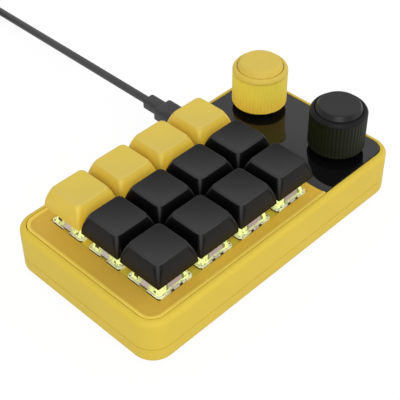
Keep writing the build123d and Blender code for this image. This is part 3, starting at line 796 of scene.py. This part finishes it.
def makeKeycap(row, column, place):
    base, steps = keycap["skirt"], keycap["steps"]
    walls = keycap["walls"]
    rings = [squareRing(half, radius, base + z, steps) for z, half, radius in walls]
    for half, below, radius in keycap["edge"]:
        flat = squareRing(half, radius, 0, steps)
        rings.append([(x, y, base + dishHeight(x, y) - below) for x, y, _ in flat])
    edgeRing = rings[-1]
    for share in keycap["dishRings"]:
        flat = [(x * share, y * share) for x, y, _ in edgeRing]
        rings.append([(x, y, base + dishHeight(x, y)) for x, y in flat])
    cap = skin(rings)
    postBottom, postRadius, socketRadius = keycap["post"]
    sink, short = keycap["postSink"]
    ceiling = base + walls[0][0]
    post = lathe([
        (socketRadius, ceiling - short), (socketRadius, postBottom),
        (postRadius, postBottom), (postRadius, ceiling + sink),
    ], steps=24)
    kind = "Yellow" if row == "back" else "Black"
    sideMaterial, topMaterial = keyFinish[kind]
    piece = makePiece(
        f"keycap.{row}.{column}", [moved(shell, (*place, 0)) for shell in (cap, post)], sideMaterial,
        f"key_{row}_{column}", [f"keycap_{row}_{column}"], sharpAngle=40,
    )
    piece.data.materials.append(topMaterial)
    firstTopFace = len(walls) * len(edgeRing)
    for face in piece.data.polygons:
        face.material_index = int(firstTopFace <= face.index < len(cap[1]))


for row, column, x, y in keyPlaces:
    makeKeycap(row, column, (x, y))
print("keycaps made")


# Key switches: a clear lit housing on a notched flange, clipped into the plate
switch = {
    "plate": 18.1,
    "seat": 0.02,  # a hair above the plate
    "flange": (15.6, 1.0, 1.3),  # width, height, corner
    "flangeEdge": 0.15,
    "shadedWall": 0.62,
    "notches": [[(-1.7, 1.4, 0.6), (2.2, 1.4, 0.6)], [(0.0, 3.4, 0.8)]],  # front and back, left and right
    "clip": (1.2, 0.45, 0.55),
    "pinPlaces": [(-5.4, -7.15), (5.4, 7.15), (-7.15, 6.75), (7.15, -6.4)],
    "pinMark": (0.27, 0.3),
    "body": (6.9, 0.8),  # half width, corner
    "bodyTop": 0.1,
    "boardTop": 13.1,
    "floor": 14.3,
    "cavity": (5.9, 0.6),
    "housing": [(19.1, 7.0, 1.6), (20.6, 6.62, 1.6), (23.9, 5.62, 1.5), (24.45, 5.42, 1.4), (24.7, 5.2, 1.3)],
    "opening": (7.4, 6.2, 0.5),
    "ceiling": (4.65, 0.8),
    "wall": 1.0,
    "deep": 0.3,
    "fields": [  # 0 for front and back or 1 for the sides, middle, width, low, high, proud, lean, finish
        (0, -0.3, 5.8, 20.0, 23.5, 0.12, 0.0, "plaque"),
        (0, 3.3, 1.2, 19.7, 22.5, 0.05, 0.0, "shade"),
        (0, -4.0, 1.2, 19.7, 22.5, 0.05, 0.0, "shade"),
        (0, 4.3, 0.5, 19.2, 22.3, 0.45, 0.0, "top"),
        (0, 4.3, 0.45, 19.4, 22.3, 0.3, -0.9, "top"),
        (0, -5.1, 0.5, 19.2, 22.3, 0.45, 0.0, "top"),
        (0, -5.1, 0.45, 19.4, 22.3, 0.3, 0.9, "top"),
        (1, -0.2, 2.8, 19.15, 23.0, 0.14, 0.0, "pale"),
        (1, 2.6, 0.5, 19.2, 22.3, 0.35, 0.0, "top"),
        (1, -3.0, 0.5, 19.2, 22.3, 0.35, 0.0, "top"),
        # a dark brown field just below the keycap's skirt
        (1, 4.1, 1.8, 20.35, 21.2, 0.1, 0.0, "clip"),
        (1, -4.9, 0.9, 19.5, 20.3, 0.08, 0.0, "shade"),
    ],
}
litLook = {
    "glow": (0.9, 1.0, 0.27),
    "cornerOver": 8,
    "blotches": {"size": 0.9, "detail": 2, "harshness": 0.7},
    "clear": [(0.36, 0.0), (0.48, 1.0)],
    "leastGlow": 0.25,
    "blotchShade": 0.6,
    "roughness": 0.18,
    "glossShift": 0.2,
    "depth": 0.12,
}
litTones = {
    "flangeLit": {
        "pale": (0.66, 0.65, 0.52),
        "dull": (0.62, 0.58, 0.5),
        "strength": 0.25,
        "corner": [(0.2, 0.12), (0.75, 1.0)],
    },
    "housingLit": {
        "pale": (0.66, 0.74, 0.36),
        "dull": (0.52, 0.54, 0.3),
        "strength": 0.5,
        "corner": [(0.2, 0.3), (0.66, 1.0)],
    },
}


def notchedRing(z, inset=0.0):
    width, _, corner = switch["flange"]
    half = width / 2 - inset
    arcs = squareRing(half, corner - inset, z, steps=4)
    count = len(arcs) // 4
    ring = []
    for quarter in range(4):
        ring += arcs[quarter * count:(quarter + 1) * count]
        for middle, wide, deep in switch["notches"][quarter % 2]:
            for along, inward in ((-wide / 2, 0), (-wide / 2, deep), (wide / 2, deep), (wide / 2, 0)):
                ring.append((*quarterTurn(-middle - along, half - inward, quarter), z))
    return ring


def cavityRing(z):
    # the square opening inside the flange, point for point with the notched outline
    ring = []
    for x, y, _ in notchedRing(z):
        share = switch["cavity"][0] / max(abs(x), abs(y))
        ring.append((x * share, y * share, z))
    return ring


def housingHalf(z):
    return between([(level, half) for level, half, _ in switch["housing"]], z)


def fieldShell(quarter, middle, width, low, high, proud, lean):
    # a raised field or rib on one side of the housing, which follows its slope
    rings = []
    for z in [low] + [level for level, _, _ in switch["housing"] if low < level < high] + [high]:
        near, farther = housingHalf(z) - switch["deep"], housingHalf(z) + proud
        start = middle - width / 2 + lean * (z - low) / (high - low)
        corners = ((start, near), (start + width, near), (start + width, farther), (start, farther))
        rings.append([(*quarterTurn(x, y, quarter), z) for x, y in corners])
    return skin(rings)


def flangeShells():
    plate, seat = switch["plate"], switch["seat"]
    _, high, _ = switch["flange"]
    flange = skin([
        notchedRing(plate + seat),
        notchedRing(plate + switch["shadedWall"]),
        notchedRing(plate + high - switch["flangeEdge"]),
        notchedRing(plate + high, switch["flangeEdge"]),
        cavityRing(plate + high),
        cavityRing(plate + seat),
    ], closed=True)
    lower = skin([
        squareRing(*switch["cavity"], switch["floor"]),
        squareRing(*switch["cavity"], plate + switch["bodyTop"]),
        squareRing(*switch["body"], plate + switch["bodyTop"]),
        squareRing(*switch["body"], switch["boardTop"]),
    ])
    return [flange, lower]


def housingShell():
    _, high, _ = switch["flange"]
    top, wall = switch["housing"][-1][0], switch["wall"]
    foot, corner = switch["housing"][0][1] - wall, switch["ceiling"][1]
    housing = [squareRing(half, radius, z) for z, half, radius in switch["housing"]]
    housing += [
        roundedRing(*switch["opening"], top),
        roundedRing(*switch["opening"], top - wall),
        squareRing(*switch["ceiling"], top - wall),
        squareRing(foot, corner, switch["plate"] + high),
    ]
    return skin(housing, closed=True)


def clipShells():
    # the clips in the front and back notches, and the round marks of the ejector pins, in dark brown that is
    # partly painted shade in the notches and pin holes
    plate, seat = switch["plate"], switch["seat"]
    flangeWidth, flangeHeight, _ = switch["flange"]
    clipWide, clipDeep, clipHigh = switch["clip"]
    shells = []
    for side in (-1, 1):
        for middle, _, deep in switch["notches"][0]:
            centre = (-side * middle, side * (flangeWidth / 2 - deep + clipDeep / 2))
            levels = (plate + seat, plate + clipHigh)
            shells.append(skin([roundedRing(clipWide, clipDeep, 0.1, z, centre, steps=2) for z in levels]))
    radius, depth = switch["pinMark"]
    for place in switch["pinPlaces"]:
        profile = [(radius, plate + flangeHeight - depth), (radius, plate + flangeHeight + seat)]
        shells.append(lathe(profile, place, steps=12))
    return shells


def litFinish(name):
    tone = litTones[name]
    board = Board(name)
    offX, offY = (abs(offset) for offset in cellOffsets(board))
    corner = board.ramp(offX.least(offY) / litLook["cornerOver"], tone["corner"])
    blotch = board.noise(**litLook["blotches"])
    clear = board.ramp(blotch, litLook["clear"])
    bright = corner * (clear * (1 - litLook["leastGlow"]) + litLook["leastGlow"])
    shaded = scaled(tone["dull"], litLook["blotchShade"])
    return board.finish(
        Base_Color=board.mix(clear, shaded, board.mix(corner, tone["dull"], tone["pale"])),
        Roughness=litLook["roughness"] + blotch * litLook["glossShift"],
        Normal=board.bump(blotch, litLook["depth"]),
        Emission_Color=board.mix(bright, (0, 0, 0), litLook["glow"]),
        Emission_Strength=tone["strength"],
    )


def shadeWall(piece, material):
    # painted shade: the foot of each flange's left wall, in the dark gap beside the deck, takes the dark
    # brown clip material
    piece.data.materials.append(material)
    low, high = switch["plate"] * mm, (switch["plate"] + switch["shadedWall"]) * mm
    for face in piece.data.polygons:
        face.material_index = int(face.normal.x < -0.3 and low < face.center.z < high)


def makeSwitches():
    finishes = {
        "base": litFinish("flangeLit"),
        "top": litFinish("housingLit"),
        "clip": plastic("clipBrown", (0.06, 0.034, 0.008), roughness=0.5),
        "plaque": plastic("plaqueGrey", (0.5, 0.41, 0.41), roughness=0.35, shift=0.2),
        "pale": plastic("plaquePale", (0.68, 0.6, 0.62), roughness=0.35, shift=0.2),
        "shade": plastic("recessShade", (0.24, 0.27, 0.13), roughness=0.4, shift=0.3),
    }
    shells = {kind: [] for kind in finishes}
    shells["base"] = flangeShells()
    shells["top"] = [housingShell()]
    shells["clip"] = clipShells()
    for pair, *sizes, kind in switch["fields"]:
        shells[kind] += [fieldShell(quarter, *sizes) for quarter in (pair, pair + 2)]
    for kind, kindShells in shells.items():
        lower = kind in ("base", "clip")
        node = "switch_bases" if lower else "switch_tops"
        placed = [moved(shell, (x, y, 0)) for _, _, x, y in keyPlaces for shell in kindShells]
        piece = makePiece("switch." + kind, placed, finishes[kind], "base", [node])
        # the flange's foot gets the painted shade
        if kind == "base":
            shadeWall(piece, finishes["clip"])


makeSwitches()
brushed = {"size": 0.9, "detail": 4}
plateSteel = grained(
    "plateSteel", (0.8, 0.6, 0.06), (0.95, 0.72, 0.075), brushed, brushed,
    roughness=0.4, glossShift=0.2, depth=0.01, Metallic=0.3,
)
paint("switch_plate", plateSteel)
print("switches made")


# Springs: real coils inside the housings, wound here at their full length (in the switch they shorten as
# their keys go down)
spring = {
    "radius": 1.8,
    "wire": 0.3,
    "wireSides": 6,
    "bottom": 14.3,
    "top": 23.4,
    "slack": 0.01,
    "turns": 9,
    "steps": 14,
    "travel": 4.0,
}
bright = metal("brightSteel", (0.68, 0.68, 0.69), roughness=0.25)
nickel = metal("nickelShell", (0.62, 0.61, 0.59), roughness=0.2)
springSteel = metal("springSteel", (0.7, 0.58, 0.32), roughness=0.28)


def springShell(x, y):
    wire, sides = spring["wire"] / 2, spring["wireSides"]
    total = spring["turns"] * spring["steps"]
    low = spring["bottom"] + wire + spring["slack"]
    rise = spring["top"] - spring["bottom"] - 2 * wire - 2 * spring["slack"]
    rings = []
    for step in range(total + 1):
        angle = 2 * pi * step / spring["steps"]
        out = Vector((cos(angle), sin(angle), 0))
        centre = Vector((x, y, low + rise * step / total)) + out * spring["radius"]
        ring = []
        for side in range(sides):
            around = 2 * pi * side / sides
            upward = Vector((0, 0, wire * sin(around)))
            ring.append(tuple(centre + out * wire * cos(around) + upward))
        rings.append(ring)
    return skin(rings)


def makeSpring(row, column, x, y):
    coil = makePiece(
        f"spring.{row}.{column}", [springShell(x, y)], springSteel, "base",
        [f"spring_{row}_{column}"],
    )
    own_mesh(coil)


for row, column, x, y in keyPlaces:
    makeSpring(row, column, x, y)
print("springs wound")


# Knobs: a fluted drum with a smooth band, and a bevelled disc set into its top
knob = {
    "ribs": 48,
    "perRib": 8,
    "ribDepth": 0.2,
    "ribFlat": -0.45,
    "drum": [  # radius, height, share of the flutes' depth
        (3.06, 34.15, 0), (3.06, 27.0, 0), (6.5, 27.0, 0), (6.5, 22.1, 0), (6.6, 22.0, 0), (10.25, 22.0, 0),
        (10.48, 22.12, 0), (10.58, 22.35, 0), (10.6, 22.75, 0), (10.6, 22.85, 0.5), (10.6, 23.05, 1),
        (10.61, 35.55, 1), (10.62, 35.9, 0.6), (10.62, 36.05, 0), (10.6, 36.3, 0), (10.5, 36.55, 0),
        (10.3, 36.9, 0), (10.05, 37.26, 0), (9.9, 37.42, 0), (9.72, 37.5, 0), (9.04, 37.5, 0),
        (8.96, 37.42, 0), (8.95, 36.3, 0), (4.0, 36.3, 0),
    ],
    "disc": [
        (8.5, 36.3), (8.7, 36.4), (8.76, 37.45), (8.68, 37.72), (8.54, 37.95), (8.26, 38.4), (7.96, 38.9),
        (7.74, 39.25), (7.6, 39.4), (7.38, 39.48), (7.1, 39.5), (5.5, 39.46), (3.5, 39.42), (1.5, 39.4),
    ],
    "band": (34, 4, [(0.2, 0.0), (0.62, 1.0)]),  # where its colour starts, over what height, stops
    "foot": (22, 8, [(0.0, 1.0), (1.0, 0.0)]),
    "fluteShift": 0.93,
}
# painted light and shade: the yellow flutes are painted lighter than the top, and the black bevel and band
# painted darker than the black top
knobTones = {
    "front": {
        "name": "Black",
        "foot": (0.0095, 0.011, 0.0045),
        "flute": (0.0095, 0.012, 0.0045),
        "top": (0.0285, 0.0285, 0.0295),
        "bevel": (0.01, 0.01, 0.0105),
        "drumLook": (0.42, 0.1),  # roughness, shine and, on discs, shift of shade
        "topLook": (0.4, 0.12, 0.1),
        "bevelLook": (0.3, 0.2, 0.1),
    },
    "back": {
        "name": "Yellow",
        "foot": (1.0, 0.64, 0.07),
        "flute": (1.0, 0.8, 0.094),
        "top": (0.7, 0.515, 0.08),
        "bevel": (0.7, 0.515, 0.08),
        "drumLook": (0.45, 0.2),
        "topLook": (0.45, 0.25),
        "bevelLook": (0.45, 0.25),
    },
}


def drumFinish(name, tone):
    # the fluted side is painted warmer at its foot, as painted bounce light, and turns into the smooth band's
    # colour above it, a painted shade on the black knob
    board = Board(name)
    _, _, height = board.axes()
    shares = [
        board.ramp((height / mm - start) / over, stops) for start, over, stops in (knob["foot"], knob["band"])
    ]
    flutes = board.mix(board.noise(**patches), scaled(tone["flute"], knob["fluteShift"]), tone["flute"])
    colour = board.mix(shares[1], board.mix(shares[0], flutes, tone["foot"]), tone["bevel"])
    return board.moulded(*tone["drumLook"], Base_Color=colour)


def knobRing(radius, z, fluted, centre):
    flat = knob["ribFlat"]

    def reach(angle):
        wave = max(cos(angle * knob["ribs"]), flat)
        return radius - knob["ribDepth"] * fluted * (1 - wave) / (1 - flat)

    return circleRing(reach, z, centre, knob["ribs"] * knob["perRib"])


def makeKnob(side, place):
    tone = knobTones[side]
    name = tone["name"]
    body, slotName = f"knob_turn_{side}", f"{name.lower()}_knob"
    drumMaterial = drumFinish(f"knob{name}Drum", tone)
    drum = skin([knobRing(radius, z, fluted, place) for radius, z, fluted in knob["drum"]])
    makePiece(f"knob.{side}", [drum], drumMaterial, body, [f"knob_{side}"], (), 45)
    topMaterial = plastic(f"knob{name}Top", tone["top"], *tone["topLook"])
    shells = [lathe(knob["disc"], place, steps=96)]
    disc = makePiece(f"knobDisc.{side}", shells, topMaterial, body, [f"knob_cap_{side}"], (), 45)
    disc.data.materials.append(plastic(f"knob{name}Bevel", tone["bevel"], *tone["bevelLook"]))
    # painted shade: the disc's steeper faces take the bevel colour, painted darker on the black knob
    for face in disc.data.polygons:
        face.material_index = int(face.normal.z < 0.9)


for side, place in knobPlaces.items():
    makeKnob(side, place)
    paint(f"encoder_shaft_{side}", bright)
paint("encoder_bodies", nickel)
paint("usb_socket", nickel)
print("knobs made")


# Plugs: the moulded grips and collars on both ends of the lead, and the far plug's steel shell
plug = {
    "place": (26.95, 35.25, 9.9),
    "grip": (9.6, 6.0, 1.5, 17.7),  # width, height, corner, length
    "gripEnds": (
        [(0, 0.25), (0.08, 0.1), (0.3, 0.0)],
        [(0.7, 0.0), (0.35, 0.06), (0.15, 0.2), (0.03, 0.38), (0, 0.5)],
    ),
    "collar": (6.1, 4.9, 1.5, 8.3),
    "collarEnds": ([(0, 0.0)], [(0.6, 0.0), (0.25, 0.08), (0.06, 0.22), (0, 0.38)]),
    "collarSink": 0.2,
    "nose": (8.25, 2.4, 2.4 / 2.1, 7.45),
    "noseEnds": ([(0, 0.1), (0.15, 0.0)], [(0, 0.0)]),
    "farZ": 4.05,
    "farGrip": (15.5, 7.95, 2.2, 24.0),
    "farCollarSink": 0.1,
    "farShell": (12.0, 4.5, 0.5, 18.8),
    "farShellEnd": (0.3, 0.15),
    "farShellSink": 0.3,
    "farShellInside": (0.35, 0.35, 1.0),  # wall, corner, where its hollow starts
    "tongue": (11.0, 1.9, 0.2),
    "tongueEnds": ([(0.8, 0)], [(1, 0)]),
    "tongueRise": 0.95,
}
moulding = grained(
    "moulding", (0.0107, 0.0107, 0.0115), (0.0148, 0.0148, 0.0156), {"size": 8}, {"size": 0.3, "detail": 3},
    roughness=0.4, glossShift=0.15, depth=0.02,
)


def bar(size, ends):
    # a rounded bar along +Z: each end is a list of distance from that end and how far the outline is drawn in
    width, height, corner, length = size
    near, far = ends
    stations = near + [(length - before, inset) for before, inset in far]
    return skin([
        roundedRing(width - 2 * inset, height - 2 * inset, max(corner - inset * 0.6, 0.3), along)
        for along, inset in stations
    ])


def makeNearPlug(data):
    gripLength, noseLength = data["grip"][-1], data["nose"][-1]
    shells = [
        bar(data["grip"], data["gripEnds"]),
        moved(bar(data["collar"], data["collarEnds"]), (0, 0, gripLength - data["collarSink"])),
        moved(bar(data["nose"], data["noseEnds"]), (0, 0, -noseLength)),
    ]
    laid = [lying(shell, *data["place"]) for shell in shells]
    return makePiece("plug", laid, moulding, "base", ["usb_plug"])


def steelShell(data):
    width, height, corner, length = data["farShell"]
    endLength, endInset = data["farShellEnd"]
    wall, innerCorner, hollowStart = data["farShellInside"]
    stations = [(0, 0, corner), (length - endLength, 0, corner), (length, endInset, corner)]
    stations += [(along, wall, innerCorner) for along in (length, hollowStart)]
    return skin([
        roundedRing(width - 2 * inset, height - 2 * inset, radius, along) for along, inset, radius in stations
    ])


def makeFarPlug(data):
    gripLength, collarLength, shellLength = (data[key][-1] for key in ("farGrip", "collar", "farShell"))
    grip = mapped(bar(data["farGrip"], data["gripEnds"]), lambda x, y, z: (x, y, gripLength - z))
    collar = mapped(bar(data["collar"], data["collarEnds"]), lambda x, y, z: (x, y, collarLength - z))
    tongue = bar((*data["tongue"], shellLength), data["tongueEnds"])
    shellStart = collarLength + gripLength - data["farShellSink"]
    endX, endY, _ = leadPoints(lead)[-1]

    def laid(shell, rise, start):
        # the far plug points along -Y
        return mapped(shell, lambda x, y, z: (endX + x, endY - z - start, data["farZ"] + y + rise))

    shells = [
        laid(grip, 0, collarLength - data["farCollarSink"]),
        laid(collar, 0, 0),
        laid(tongue, data["tongueRise"], shellStart),
    ]
    far = makePiece("farPlug", shells, moulding, "base", ["far_plug"])
    steel = [laid(steelShell(data), 0, shellStart)]
    return far, makePiece("farPlugShell", steel, nickel, "base", ["far_plug"])


plugPieces = [makeNearPlug(plug), *makeFarPlug(plug)]
print("plugs made")


# Feet and case screws, seen from below
feet = {
    "places": [(x, y) for x in (-45.75, 45.75) for y in (-25.25, 25.25)],
    "profile": [(4.0, 1.2), (4.0, 0.25), (3.92, 0.08), (3.75, 0.0)],
}
screws = {
    "profile": [(1.2, 12.4), (1.2, 3.0), (2.28, 3.0), (2.28, 1.6), (2.13, 1.4)],
    "socket": (1.05, 1.4, 2.3),  # half its width across flats, and its two heights
    "steps": 36,
}


def makeFeet():
    shells = [lathe(feet["profile"], place, steps=48) for place in feet["places"]]
    fine = {"size": 0.25, "detail": 4}
    rubber = grained(
        "footRubber", (0.012, 0.012, 0.012), (0.022, 0.022, 0.022), fine, fine,
        roughness=0.72, glossShift=0.15, depth=0.03,
    )
    makePiece("feet", shells, rubber, "base", ["rubber_feet"])


def hexReach(angle):
    half = screws["socket"][0]
    return half / cos((angle + pi / 6) % (pi / 3) - pi / 6)


def makeScrews():
    _, *levels = screws["socket"]
    profile = screws["profile"] + [(hexReach, z) for z in levels]
    shells = [lathe(profile, place, screws["steps"]) for place in case["bossPlaces"]]
    makePiece("caseScrews", shells, bright, "base", ["case_screws"])


makeFeet()
makeScrews()


# Inner pieces that keep their own solids get their finishes
def boardFinish():
    board = Board("boardLacquer")
    lines = board.ramp(board.noise(size=1.6, detail=1), [(0.48, 0.0), (0.52, 1.0)])
    return board.finish(
        Base_Color=board.mix(lines, (0.008, 0.06, 0.03), (0.016, 0.1, 0.05)),
        Roughness=0.25 + lines * 0.1,
        Normal=board.bump(lines, depth=0.03),
    )


paint("circuit_board", boardFinish())
stemGrey = plastic("stemGrey", (0.05, 0.05, 0.052), roughness=0.35)
for row, column, _, _ in keyPlaces:
    paint(f"stem_{row}_{column}", stemGrey)
for side in knobPlaces:
    paint(f"encoder_plunger_{side}", stemGrey)
print("inner pieces painted")


# Studio: a pale floor, an even white surround and two soft lamps, in metres
studio = {
    "surround": 0.74,
    "lamps": [
        {"name": "keyLamp", "place": (-0.8, -0.75, 0.8), "size": 0.8, "power": 6},
        {"name": "fillLamp", "place": (0.9, -1.1, 0.8), "size": 1.2, "power": 4},
    ],
    "floorHalf": 6,
    "floorZ": -0.0002,
    "floorColour": (0.72, 0.72, 0.72),
    "floorShare": 0.11,  # how much of the floor's shading shows through its white
    "floorGlow": 1.045,
}


def lightWorld(data):
    scene.world = bpy.data.worlds.new("surround")
    sky = Board("surround", scene.world)
    strength = data["surround"] + sky.seen() * (1 - data["surround"])
    backdrop = sky.node("ShaderNodeBackground", None, {"Color": (1, 1, 1), "Strength": strength})
    sky.node("ShaderNodeOutputWorld", None, {"Surface": backdrop})


def hangLamp(data):
    light = bpy.data.lights.new(data["name"], "AREA")
    light.energy = data["power"]
    light.size = data["size"]
    holder = bpy.data.objects.new(data["name"], light)
    holder.location = data["place"]
    holder.rotation_euler = (-Vector(data["place"])).to_track_quat("-Z", "Y").to_euler()
    scene.collection.objects.link(holder)


def layFloor(data):
    half, z = data["floorHalf"], data["floorZ"]
    corners = [(-half, -half, z), (half, -half, z), (half, half, z), (-half, half, z)]
    mesh = bpy.data.meshes.new("floor")
    mesh.from_pydata(corners, [], [(0, 1, 2, 3)])
    floor = bpy.data.objects.new("floor", mesh)
    scene.collection.objects.link(floor)
    board = Board("floorPaper")
    lit = board.node("ShaderNodeBsdfDiffuse", None, {"Color": data["floorColour"]})
    white = board.node("ShaderNodeEmission", None, {"Color": (1, 1, 1), "Strength": data["floorGlow"]})
    share = board.seen() * (1 - data["floorShare"])
    blended = board.node("ShaderNodeMixShader", None, {0: share, 1: lit, 2: white})
    board.node("ShaderNodeOutputMaterial", None, {"Surface": blended})
    mesh.materials.append(board.material)


lightWorld(studio)
for lamp in studio["lamps"]:
    hangLamp(lamp)
layFloor(studio)
scene.view_settings.view_transform = "Standard"
print("studio lit")
